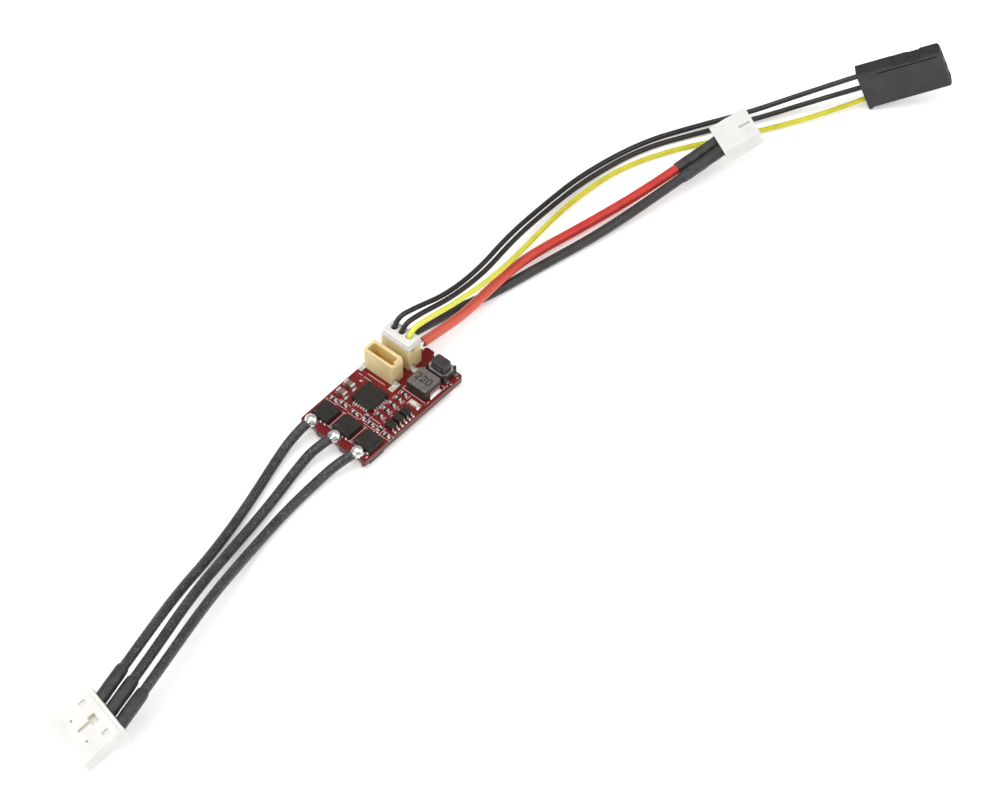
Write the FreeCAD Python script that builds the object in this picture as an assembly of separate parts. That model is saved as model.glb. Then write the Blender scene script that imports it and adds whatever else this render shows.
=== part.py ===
# Micro brushless speed controller: a small red circuit board with two upright
# receptacles and a push-button, three motor leads, a battery lead and a
# plug-in receiver lead.  Millimetres.  +Z is up, the board's long side runs
# along X (motor leads toward -X, battery and receiver leads toward +X) and
# Z = 0 is the surface the parts under the board stand on.
import FreeCAD, Part
import math
import os

V = FreeCAD.Vector

# ---- board -----------------------------------------------------------------
BOARD_X = (-11.8, 11.1)  # motor edge and switch corner
TAB_X = 11.8  # the battery pads sit on a short tab past the switch corner
TAB_Y = -0.2  # the tab runs from here to the +Y side
BOARD_HALF_W = 6.6
BOARD_Z = (1.0, 2.2)
TOP, UNDER = BOARD_Z[1], BOARD_Z[0]
MOTOR_Y = (4.9, 0.2, -4.5)
BATTERY_Y = (2.25, 4.85)
SCALLOP_R = 3.0  # round wire notches in the motor end of the board
SCALLOP_DEPTH = 0.55
TAB_NOTCH_R = 1.15
TAB_NOTCH_DEPTH = 0.53
VIAS = [(-4.3, 2.2), (-4.3, -0.6), (-9.9, 1.85), (-9.9, -2.6), (3.0, -6.0), (7.7, -0.6), (-6.2, 6.2)]

# ---- chips and small parts -------------------------------------------------
FET = (3.25, 3.25, 0.82)
FET_X = -8.45
FET_Y = (4.2, -0.2, -4.6)
MCU_CENTRE = (-1.75, 1.2)
MCU_SIDE = 4.0
MCU_PADS, MCU_PAD_PITCH = 6, 0.5
PAD_LENGTH = 0.38  # how far a quad chip's pads reach out past its sides
INDUCTOR_CENTRE = (5.3, -3.65)
INDUCTOR = (3.8, 4.0, 2.1)

# ---- push-button -----------------------------------------------------------
SWITCH_CENTRE = (9.5, -3.5)
SWITCH = (3.0, 3.9, 1.1)
BUTTON = (2.0, 2.75, 1.98)  # the plunger's stem
BUTTON_TRAVEL = 0.25

# ---- upright receptacles, three pins at 1.5 mm -----------------------------
AUX_X, RECEIVER_X = 3.78, 7.85
HEADER_Y = 3.25
AUX_HEADER = (2.66, 6.0, 4.2)
RECEIVER_HEADER = (3.0, 6.0, 4.2)
PIN_PITCH = 1.5
PIN_SIDE = 0.5
PIN_TALL = 2.3

# ---- wires -----------------------------------------------------------------
POWER_D = 1.6  # silicone motor and battery wires
SIGNAL_D = 0.85
BEND_SHARE = 0.45  # how much of the shorter run a bend takes up
END_RUN_ON = 0.5

MOTOR_PLUG_AT = ((-73.39, -12.03, 6.09), (-195.8, -24.0, -12.0))
MOTOR_PLUG = (8.2, 8.8, 4.3)
MOTOR_PLUG_PITCH = 2.5
BATTERY_PLUG_AT = ((72.2, -7.0, 4.3), (-25.0, 19.0, -3.0))
BATTERY_PLUG = (6.5, 5.9, 3.4)
BATTERY_PLUG_PITCH = 2.0
RECEIVER_END_AT = ((96.89, -16.06, 4.15), (-43.9, 18.1, 84.4))
RECEIVER_END = (14.0, 7.6, 2.5)
RECEIVER_END_PITCH = 2.54

SIGNAL_START_Z = 7.4  # the signal wires start inside the plug, on its contacts


# ---- shape helpers ---------------------------------------------------------
def box(cx, cy, z0, dx, dy, dz):
    """A block centred on cx, cy that stands on z0."""
    return Part.makeBox(dx, dy, dz, V(cx - dx / 2, cy - dy / 2, z0))


def span(x0, x1, y0, y1, z0, z1):
    return Part.makeBox(x1 - x0, y1 - y0, z1 - z0, V(x0, y0, z0))


def post(cx, cy, z0, radius, height):
    return Part.makeCylinder(radius, height, V(cx, cy, z0))


def soften(shape, radius, direction):
    """Rounds the straight edges that run along one direction."""
    edges = []
    for edge in shape.Edges:
        if isinstance(edge.Curve, Part.Line):
            along = edge.Curve.Direction
            if abs(along.dot(V(*direction))) > 0.999:
                edges.append(edge)
    return shape.makeFillet(radius, edges)


def bevel_top(shape, size):
    """Chamfers the edges of the highest flat face."""
    z = shape.BoundBox.ZMax
    edges = [e for e in shape.Edges if e.BoundBox.ZMin > z - 1e-4]
    return shape.makeChamfer(size, edges)


def fused(shapes):
    whole = shapes[0]
    for shape in shapes[1:]:
        whole = whole.fuse(shape)
    return whole.removeSplitter()


def placed(shape, at):
    """Moves a plug from its own axes (x along the wires, y across) to its place."""
    origin, (yaw, pitch, roll) = at
    out = shape.copy()
    out.Placement = FreeCAD.Placement(V(*origin), FreeCAD.Rotation(yaw, -pitch, roll))
    return out


def point_on(at, x, y, z=0.0):
    origin, (yaw, pitch, roll) = at
    place = FreeCAD.Placement(V(*origin), FreeCAD.Rotation(yaw, -pitch, roll))
    return tuple(place.multVec(V(x, y, z)))


def centreline(points):
    """Straight runs joined by tangent arcs; also the bend radii and the length."""
    at = [V(*p) for p in points]
    edges, radii, start = [], [], at[0]
    for a, b, c in zip(at, at[1:], at[2:]):
        u, w = (b - a), (c - b)
        cut = BEND_SHARE * min(u.Length, w.Length)
        half = u.getAngle(w) / 2
        u.normalize()
        w.normalize()
        p, q = b - u * cut, b + w * cut
        radius = cut / math.tan(half)
        inward = (w - u).normalize()
        centre = b + inward * math.hypot(radius, cut)
        middle = centre - inward * radius
        edges.append(Part.makeLine(start, p))
        edges.append(Part.Arc(p, middle, q).toShape())
        radii.append(radius)
        start = q
    edges.append(Part.makeLine(start, at[-1]))
    return edges, radii


def tube(points, diameter, name, *trims):
    """A wire along a route; it runs on a little past both ends, and the trims
    are the blocks that cut it flush with what it enters."""
    points = [past(points[0], points[1])] + points[1:-1] + [past(points[-1], points[-2])]
    edges, radii = centreline(points)
    path = Part.Wire(edges)
    first = V(*points[1]) - V(*points[0])
    profile = Part.Wire([Part.makeCircle(diameter / 2, V(*points[0]), first)])
    solid = path.makePipeShell([profile], True, True)
    length = sum(e.Length for e in edges)
    expected = math.pi * diameter**2 / 4 * length
    turns = ", ".join(f"{r:.1f}" for r in radii)
    print(f"{name}: length {length:.1f}, radii {turns}, volume ratio {solid.Volume / expected:.4f}")
    for block in trims:
        solid = solid.cut(block)
    return solid


def past(end, before):
    """The point a little beyond an end of a route, along its last run."""
    return toward(end, before, -END_RUN_ON)


def behind_face(at):
    """The block of space from a plug's wire-entry face onward."""
    return placed(Part.makeBox(4, 16, 16, V(0, -8, -8)), at)


def straight(a, b, radius, bore=0.0):
    """A rod or sleeve from a to b."""
    start, along = V(*a), V(*b) - V(*a)
    rod = Part.makeCylinder(radius, along.Length, start, along)
    if bore:
        rod = rod.cut(Part.makeCylinder(bore, along.Length, start, along))
    return rod


def toward(a, b, distance):
    """The point this far from a on the way to b."""
    step = (V(*b) - V(*a)).normalize() * distance
    return tuple(V(*a) + step)


def export(name, *shapes):
    shape = shapes[0] if len(shapes) == 1 else Part.makeCompound(list(shapes))
    shape.exportStep(os.path.join("parts", name + ".step"))


# ---- board -----------------------------------------------------------------
def scallop(x_edge, y, inward):
    centre = x_edge - inward * (SCALLOP_R - SCALLOP_DEPTH)
    return post(centre, y, UNDER - 1, SCALLOP_R, 4)


def make_board():
    height = TOP - UNDER
    x0, x1 = BOARD_X
    main = soften(span(x0, x1, -BOARD_HALF_W, BOARD_HALF_W, UNDER, TOP), 0.5, (0, 0, 1))
    tab = span(x1 - 2, TAB_X, TAB_Y, BOARD_HALF_W, UNDER, UNDER + height)
    board = main.fuse(soften(tab, 0.3, (0, 0, 1))).removeSplitter()
    for y in MOTOR_Y:
        board = board.cut(scallop(x0, y, 1))
    for y in BATTERY_Y:
        board = board.cut(post(TAB_X + TAB_NOTCH_R - TAB_NOTCH_DEPTH, y, UNDER - 1, TAB_NOTCH_R, 4))
    for x, y in VIAS:
        board = board.cut(post(x, y, UNDER - 1, 0.15, 4))
    return board


# ---- solder joints at the ends of the board --------------------------------
WIRE_AXIS_Z = 2.75
MOTOR_WIRE_END = -12.1
BATTERY_WIRE_END = 11.8


def wire_end(x, y, length, side):
    """The bare tinned strands past the insulation, lying over the pad."""
    return straight((x, y, WIRE_AXIS_Z), (x + side * length, y, WIRE_AXIS_Z), 0.42)


def solder(x, y, radius, height, bare, wire, keep):
    dome = Part.makeSphere(radius, V(0, 0, 0), V(0, 0, 1), 0, 90)
    squash = FreeCAD.Matrix()
    squash.scale(1, 1, height / radius)
    dome = dome.transformGeometry(squash)
    dome.translate(V(x, y, TOP))
    return dome.cut(bare).cut(wire).common(keep)


def beyond(x, side):
    """The block of space on one side of an end of the board."""
    return span(min(x, x + 3 * side), max(x, x + 3 * side), -9, 9, 0, 6)


# ---- chips -----------------------------------------------------------------
def make_fets(side):
    """Three square power chips and their solder tabs; side +1 on top, -1 under."""
    dx, dy, dz = FET
    if side < 0:
        dz = UNDER - 0.05  # the ones under the board are its feet
    z_body = TOP + 0.05 if side > 0 else 0.0
    z_tab = TOP if side > 0 else UNDER - 0.25
    bodies, tabs = [], []
    for y in FET_Y:
        body = soften(box(FET_X, y, z_body, dx, dy, dz), 0.08, (0, 0, 1))
        for row in (-1, 1):
            for i in range(4):
                at = (FET_X + row * (dx / 2 - 0.1), y + (i - 1.5) * 0.8, z_tab)
                tab = box(*at, 0.32, 0.4, 0.25)
                tabs.append(tab)
                body = body.cut(tab)
        bodies.append(body)
    return bodies, tabs


def make_quad_chip(centre, side, pads, pitch, z, thickness, z_pad):
    """A square leadless chip with a row of solder pads on each side."""
    cx, cy = centre
    body = soften(box(cx, cy, z, side, side, thickness), 0.06, (0, 0, 1))
    dot = post(cx - side / 2 + 0.45, cy + side / 2 - 0.45, z + thickness - 0.05, 0.18, 1)
    body = body.cut(dot)
    rows = []
    reach = side / 2 + PAD_LENGTH / 2
    for i in range(pads):
        along = (i - (pads - 1) / 2) * pitch
        for sx, sy in ((1, 0), (-1, 0), (0, 1), (0, -1)):
            x, y = cx + sx * reach + sy * along, cy + sy * reach + sx * along
            dx, dy = (PAD_LENGTH, 0.26) if sx else (0.26, PAD_LENGTH)
            rows.append(box(x, y, z_pad, dx, dy, 0.22))
    return body, rows


def make_small_transistors():
    """Three leaded driver parts near the +X end of the -Y side."""
    bodies, leads = [], []
    for x in (-3.75, -2.05, -0.4):
        y = -4.95
        body = box(x, y, TOP + 0.1, 1.25, 1.5, 0.85)
        body = bevel_top(body, 0.1)
        bodies.append(body)
        for dx, side in ((-0.42, -1), (0.42, -1), (0.0, 1)):
            foot = box(x + dx, y + side * 1.05, TOP, 0.34, 0.4, 0.14)
            leg = box(x + dx, y + side * 0.81, TOP, 0.34, 0.12, 0.6)
            leads.append(foot.fuse(leg).removeSplitter())
    return bodies, leads


def make_chips(places, size, cap):
    """Two-terminal chips: bodies, and the metal caps on their two ends."""
    length, width, height = size
    bodies, caps = [], []
    for x, y, along_x, z in places:
        lx, ly = (length - 2 * cap, width) if along_x else (width, length - 2 * cap)
        bodies.append(box(x, y, z, lx, ly, height))
        shift = (length - cap) / 2
        for end in (-1, 1):
            ex, ey = (end * shift, 0) if along_x else (0, end * shift)
            cx, cy = (cap, width) if along_x else (width, cap)
            caps.append(box(x + ex, y + ey, z, cx, cy, height))
    return bodies, caps


SMALL_CHIPS = [(x, -2.25, False, TOP) for x in (-3.3, -1.8, -0.4, 1.0, 2.3)] + [
    (-5.6, 5.2, False, TOP),
    (-5.3, 3.4, False, TOP),
    (-5.5, 0.9, False, TOP),
    (-5.0, -0.9, True, TOP),
    (-5.5, -2.4, False, TOP),
    (-5.4, -4.1, True, TOP),
    (-5.6, -5.7, False, TOP),
]
LARGE_CHIPS = [(-1.9, 5.2, False, TOP), (-3.9, 5.0, False, TOP)]
BULK_CHIPS = [(9.2, 4.6, False, 0.0), (9.2, -4.6, False, 0.0)]


# ---- inductor --------------------------------------------------------------
def make_inductor():
    cx, cy = INDUCTOR_CENTRE
    dx, dy, dz = INDUCTOR
    body = soften(box(cx, cy, TOP + 0.08, dx, dy, dz - 0.08), 0.45, (0, 0, 1))
    body = bevel_top(body, 0.12)
    terminals = []
    for side in (-1, 1):
        y = cy + side * (dy / 2 + 0.05)
        wall = box(cx + 0.25, y, TOP, 2.3, 0.1, 1.05)
        foot = box(cx + 0.25, cy + side * (dy / 2 - 0.35), TOP, 2.3, 0.9, 0.08)
        terminals.append(wall.fuse(foot).removeSplitter())
    return body, terminals


# ---- push-button -----------------------------------------------------------
PEG_AT = (1.28, 1.73)  # the cover's rivets, from the centre


def make_switch():
    """Base, snap dome, plunger, metal cover and solder tabs of the button."""
    cx, cy = SWITCH_CENTRE
    dx, dy, dz = SWITCH
    floor = TOP + 0.3
    rim = TOP + dz
    base = soften(box(cx, cy, TOP, dx, dy, dz), 0.2, (0, 0, 1))
    well = soften(box(cx, cy, floor, 2.45, 3.25, 2), 0.5, (0, 0, 1))
    base = base.cut(well)
    for sx, sy in ((1, -1), (-1, 1)):
        peg = post(cx + sx * PEG_AT[0], cy + sy * PEG_AT[1], rim, 0.22, 0.42)
        base = base.fuse(peg)
    base = base.removeSplitter()

    cover = box(cx, cy, rim, dx - 0.1, dy - 0.1, 0.15)
    upright = [e for e in cover.Edges if e.BoundBox.ZLength > 0.1]
    cover = cover.makeChamfer(0.72, upright)
    cover = cover.cut(soften(box(cx, cy, rim - 1, 2.16, 2.92, 3), 0.6, (0, 0, 1)))
    for sx, sy in ((1, -1), (-1, 1)):
        cover = cover.cut(post(cx + sx * PEG_AT[0], cy + sy * PEG_AT[1], rim - 1, 0.26, 3))

    flange = soften(box(cx, cy, floor + 0.42, 2.36, 3.14, 0.33), 0.45, (0, 0, 1))
    stem = soften(box(cx, cy, floor + 0.42, *BUTTON), 0.5, (0, 0, 1))
    stem = bevel_top(stem, 0.2)
    nub = post(cx, cy, floor + 0.25, 0.35, 0.3)
    plunger = fused([flange, stem, nub])

    outer = Part.makeSphere(3.2, V(cx, cy, floor + 0.24 - 3.2))
    inner = Part.makeSphere(3.14, V(cx, cy, floor + 0.24 - 3.2))
    slab = box(cx, cy, floor, 2.0, 2.6, 1)
    dome = outer.cut(inner).common(slab)

    tabs = []
    for side in (-1, 1):
        for shift in (-0.95, 0.95):
            tabs.append(box(cx + shift, cy + side * (dy / 2 + 0.25), TOP, 0.6, 0.5, 0.16))
    return base, dome, plunger, cover, tabs


# ---- upright receptacles ---------------------------------------------------
def make_header(cx, size, front_wall, rear_wall):
    """Open-topped shell, its three pins and the two solder tabs at its ends."""
    dx, dy, dz = size
    cy = HEADER_Y
    rim = TOP + dz
    end = cy - dy / 2
    shell = soften(box(cx, cy, TOP, dx, dy, dz), 0.35, (0, 0, 1))
    x0, x1 = cx - dx / 2 + front_wall, cx + dx / 2 - rear_wall
    cavity = span(x0, x1, end + 0.65, cy + dy / 2 - 0.45, TOP + 1.2, rim + 1)
    shell = shell.cut(soften(cavity, 0.25, (0, 0, 1)))
    shell = shell.cut(box(cx - 0.6, end + 0.3, rim - 0.45, 0.6, 1.0, 1))
    slope = Part.makePolygon(
        [V(cx - 0.1, end - 0.1, rim - 1.1), V(cx - 0.1, end + 0.45, rim + 0.1),
         V(cx - 0.1, end - 0.1, rim + 0.1), V(cx - 0.1, end - 0.1, rim - 1.1)]
    )
    shell = shell.cut(Part.Face(slope).extrude(V(2, 0, 0)))
    for i in range(3):
        shell = shell.cut(pin_slot(cx, pin_y(i), dx / 2))
    for side in (-1, 1):
        shell = shell.cut(box(cx - 0.75, cy + side * dy / 2, TOP, 1.0, 0.5, 0.9))
    pins = [header_pin(cx, pin_y(i), dx / 2) for i in range(3)]
    tabs = []
    for side in (-1, 1):
        y = cy + side * dy / 2
        wall = box(cx - 0.75, y - side * 0.1, TOP, 0.96, 0.15, 0.85)
        foot = box(cx - 0.75, y + side * 0.1, TOP, 0.96, 0.5, 0.12)
        tabs.append(wall.fuse(foot).removeSplitter())
    return shell, pins, tabs


def pin_y(i):
    return HEADER_Y + (1 - i) * PIN_PITCH


def header_pin(cx, y, rear):
    """A square post that turns out through the rear wall to a solder tail."""
    stem = box(cx, y, TOP + 0.3, PIN_SIDE, PIN_SIDE, PIN_TALL)
    stem = bevel_top(stem, 0.12)
    tail = span(cx, cx + rear + 0.35, y - 0.15, y + 0.15, TOP + 0.3, TOP + 0.55)
    drop = span(cx + rear + 0.15, cx + rear + 0.35, y - 0.15, y + 0.15, TOP, TOP + 0.55)
    return fused([stem, tail, drop])


def pin_slot(cx, y, rear):
    """The room a pin takes in the floor and rear wall of its receptacle."""
    stem = box(cx, y, TOP + 0.3, PIN_SIDE, PIN_SIDE, PIN_TALL)
    tail = span(cx, cx + rear + 0.35, y - 0.15, y + 0.15, TOP + 0.3, TOP + 0.55)
    return stem.fuse(tail)


# ---- receiver plug, in the rear receptacle ---------------------------------
SIGNAL_SHIFT = 0.2  # the wires leave the plug a little behind its pins
NOSE_Z = TOP + 1.35


def make_receiver_plug():
    cx, cy = RECEIVER_X, HEADER_Y
    dx, dy, dz = RECEIVER_HEADER
    rim = TOP + dz
    flange = soften(box(cx, cy, rim + 0.05, dx, dy - 0.2, 0.65), 0.25, (0, 0, 1))
    head = soften(box(cx, cy, rim + 0.05, dx - 0.24, dy - 0.44, 1.35), 0.25, (0, 0, 1))
    head = bevel_top(head, 0.18)
    nose = span(cx - 1.03, cx + 0.93, cy - 2.28, cy + 2.48, NOSE_Z, rim + 0.3)
    nose = soften(nose, 0.25, (0, 0, 1))
    plug = fused([flange, head, nose])
    contacts = []
    for i in range(3):
        y = pin_y(i)
        plug = plug.cut(box(cx, y, NOSE_Z - 1, 0.86, 0.86, SIGNAL_START_Z - NOSE_Z + 1))
        plug = plug.cut(post(cx + SIGNAL_SHIFT, y, SIGNAL_START_Z - 0.1, 0.55, 3))
        barrel = span(cx - 0.42, cx + 0.42, y - 0.42, y + 0.42, NOSE_Z + 0.1, SIGNAL_START_Z)
        bore = box(cx, y, NOSE_Z - 1, PIN_SIDE + 0.1, PIN_SIDE + 0.1, 3.0)
        contacts.append(barrel.cut(bore))
    for y in (cy - 1.9, cy - 0.55, cy + 0.8, cy + 2.1):
        plug = plug.cut(box(cx - dx / 2 + 0.1, y, rim + 0.85, 0.24, 0.5, 0.25))
    return plug, contacts


# ---- plugs on the far ends of the wires, in their own axes -----------------
def make_motor_plug():
    length, width, thick = MOTOR_PLUG
    body = box(length / 2, 0, -thick / 2, length, width, thick)
    body = soften(body, 0.25, (1, 0, 0))
    slope = Part.makeBox(length, width + 2, 2, V(0, -width / 2 - 1, 0))
    slope.rotate(V(0, 0, 0), V(0, 1, 0), 7)
    slope.translate(V(4.6, 0, thick / 2 + 0.001))
    body = body.cut(slope)
    groove = box(0.62, 0, thick / 2 - 0.12, 0.16, width + 2, 1)
    body = body.cut(groove)
    contacts = []
    for i in (-1, 0, 1):
        y = i * MOTOR_PLUG_PITCH
        body = body.cut(box(length / 2 + 0.55, y, -0.95, length, 1.4, 1.9))
        body = body.cut(straight((-1, y, 0), (1.3, y, 0), 0.7))
        contacts.append(make_contact(1.2, length - 0.5, y, 1.3, 1.7, 0.6))
    for i in (-1, 1):
        body = body.cut(box(2.4, i * 2.9, thick / 2 - 0.35, 1.1, 0.95, 1))
    lever = box(2.6, 0, thick / 2 - 0.9, 1.3, 1.5, 2)
    lever = lever.fuse(box(4.2, 0, thick / 2 - 0.6, 2.6, 0.5, 2))
    body = body.cut(lever)
    for i in (-1, 0, 1):
        body = body.cut(post(5.35, i * 2.0, thick / 2 - 0.6, 0.2, 2))
    return body, contacts


def make_contact(x0, x1, y, width, height, crimp):
    """A folded box contact, hollow at the mating end, with a round wire crimp."""
    shell = box((x0 + x1) / 2, y, -height / 2, x1 - x0, width, height)
    hollow = box((x0 + x1) / 2 + 1.5, y, -height / 2 + 0.2, x1 - x0, width - 0.4, height - 0.4)
    return shell.cut(hollow).fuse(straight((0, y, 0), (x0, y, 0), crimp)).removeSplitter()


def make_battery_plug():
    length, width, thick = BATTERY_PLUG
    body = box(length / 2, 0, -thick / 2, length, width, thick)
    body = soften(body, 0.3, (1, 0, 0))
    body = body.cut(box(length / 2 + 3.4, -width / 2, -thick / 2, 5.0, 0.7, 1.0))
    slot = box(5.0, -0.2, thick / 2 - 0.5, 1.9, 0.45, 2)
    body = body.cut(slot)
    contacts = []
    for i in (-1, 1):
        y = i * BATTERY_PLUG_PITCH / 2
        body = body.cut(box(length / 2 + 0.55, y, -0.8, length, 1.3, 1.6))
        body = body.cut(straight((-1, y, 0), (1.3, y, 0), 0.7))
        contacts.append(make_contact(1.2, length - 0.5, y, 1.2, 1.4, 0.6))
    return body, contacts


def make_receiver_end():
    length, width, thick = RECEIVER_END
    body = box(length / 2, 0, -thick / 2, length, width, thick)
    body = soften(body, 0.2, (1, 0, 0))
    corners = [e for e in body.Edges if e.BoundBox.XMin > length - 0.01 and e.BoundBox.ZLength > thick / 2]
    body = body.makeFillet(0.55, corners)
    body = body.cut(box(7.4, width / 2, -thick, 2.6, 0.3, 2 * thick))
    body = body.cut(box(9.7, width / 2, -thick, 2.0, 0.6, 2 * thick))
    body = body.cut(box(8.2, width / 2 - 0.75, thick / 2 - 0.18, 10.0, 0.22, 1))
    lip = box(0.3, -width / 2 - 0.15, -thick / 2 + 0.3, 0.6, 0.6, thick - 0.6)
    body = body.fuse(lip).removeSplitter()
    contacts = []
    for i in (-1, 0, 1):
        y = i * RECEIVER_END_PITCH
        body = body.cut(box(length / 2 + 1.0, y, -0.8, length, 1.7, 1.6))
        body = body.cut(straight((-1, y, 0), (1.6, y, 0), 0.36))
        body = body.cut(box(3.0, y, -thick / 2 - 1.5, 1.6, 0.8, 2))
        contacts.append(make_contact(1.5, length - 0.7, y, 1.6, 1.5, 0.3))
    return body, contacts


# ---- wire routes, from the board to the far plug ---------------------------
def motor_routes():
    ends = [point_on(MOTOR_PLUG_AT, 0, y * MOTOR_PLUG_PITCH) for y in (-1, 0, 1)]
    starts = [(MOTOR_WIRE_END, y, WIRE_AXIS_Z) for y in MOTOR_Y]
    middles = [
        [(-14.5, 5.1, 2.1), (-18.0, 4.9, 1.0), (-29.1, 1.8, 0.85), (-39.3, -0.7, 1.4),
         (-50.3, -3.5, 4.2), (-63.6, -8.1, 8.0)],
        [(-14.7, 0.9, 2.2), (-17.9, 1.1, 1.0), (-27.2, -0.7, 0.85), (-36.6, -2.3, 1.4),
         (-48.5, -5.3, 4.2), (-64.0, -10.6, 7.6)],
        [(-14.4, -3.7, 2.2), (-17.8, -3.0, 1.0), (-26.0, -3.3, 0.85), (-36.0, -4.8, 1.4),
         (-48.0, -7.9, 4.3), (-64.4, -13.0, 7.2)],
    ]
    return [[s] + m + [e] for s, m, e in zip(starts, middles, ends)]


def battery_routes():
    red_end = point_on(BATTERY_PLUG_AT, 0, BATTERY_PLUG_PITCH / 2)
    black_end = point_on(BATTERY_PLUG_AT, 0, -BATTERY_PLUG_PITCH / 2)
    red = [(BATTERY_WIRE_END, BATTERY_Y[0], WIRE_AXIS_Z), (15.0, 1.8, 2.8), (20.6, 1.2, 2.8),
           (28.0, 1.7, 2.7), (36.0, 2.2, 1.7), (48.5, -0.2, 0.9), (60.3, -3.7, 2.6), red_end]
    black = [(BATTERY_WIRE_END, BATTERY_Y[1], WIRE_AXIS_Z), (15.2, 4.7, 1.8), (20.6, 4.1, 0.85),
             (28.0, 1.6, 0.85), (36.0, -0.1, 0.85), (48.0, -3.0, 1.0), (59.9, -5.4, 2.4), black_end]
    return red, black


def signal_routes():
    ends = [point_on(RECEIVER_END_AT, 0, y * RECEIVER_END_PITCH) for y in (1, 0, -1)]
    x = RECEIVER_X + SIGNAL_SHIFT
    starts = [(x, pin_y(i), SIGNAL_START_Z) for i in range(3)]
    middles = [
        [(8.4, 4.7, 9.6), (12.0, 4.1, 9.3), (18.3, 3.3, 7.5), (26.6, 3.9, 5.7), (36.1, 6.0, 3.9),
         (45.6, 7.1, 2.0), (56.0, 7.5, 0.6), (67.0, 5.0, 0.5), (75.0, 0.9, 0.5), (82.8, -4.4, 1.4),
         (90.0, -9.4, 3.4)],
        [(8.4, 3.2, 9.2), (12.0, 2.8, 9.0), (18.5, 2.3, 7.4), (27.0, 3.0, 5.3), (36.5, 5.1, 3.5),
         (46.2, 6.1, 1.8), (55.4, 6.3, 0.6), (66.0, 4.1, 0.5), (75.0, -0.8, 0.5), (83.0, -6.0, 0.9),
         (90.6, -10.9, 2.2)],
        [(8.4, 1.75, 9.0), (12.0, 1.5, 8.7), (18.5, 1.3, 7.0), (27.0, 1.5, 5.1), (34.5, 2.5, 3.6),
         (43.0, 4.0, 2.0), (51.0, 4.9, 0.8), (60.0, 4.1, 0.5), (68.5, 0.6, 0.5), (76.0, -4.3, 0.5),
         (84.0, -9.4, 0.7), (91.0, -13.6, 1.1)],
    ]
    return [[s] + m + [e] for s, m, e in zip(starts, middles, ends)]


SLEEVE_R = 1.03
MOTOR_SLEEVE = 5.2
BATTERY_SLEEVE = 6.3


def sleeve(route, length, radius, at):
    """Shrink tube over the end of a power wire, cut flush with its plug."""
    start = toward(route[-1], route[-2], length)
    end = toward(route[-1], route[-2], -2 * END_RUN_ON)
    return straight(start, end, radius, POWER_D / 2).cut(behind_face(at))


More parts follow.
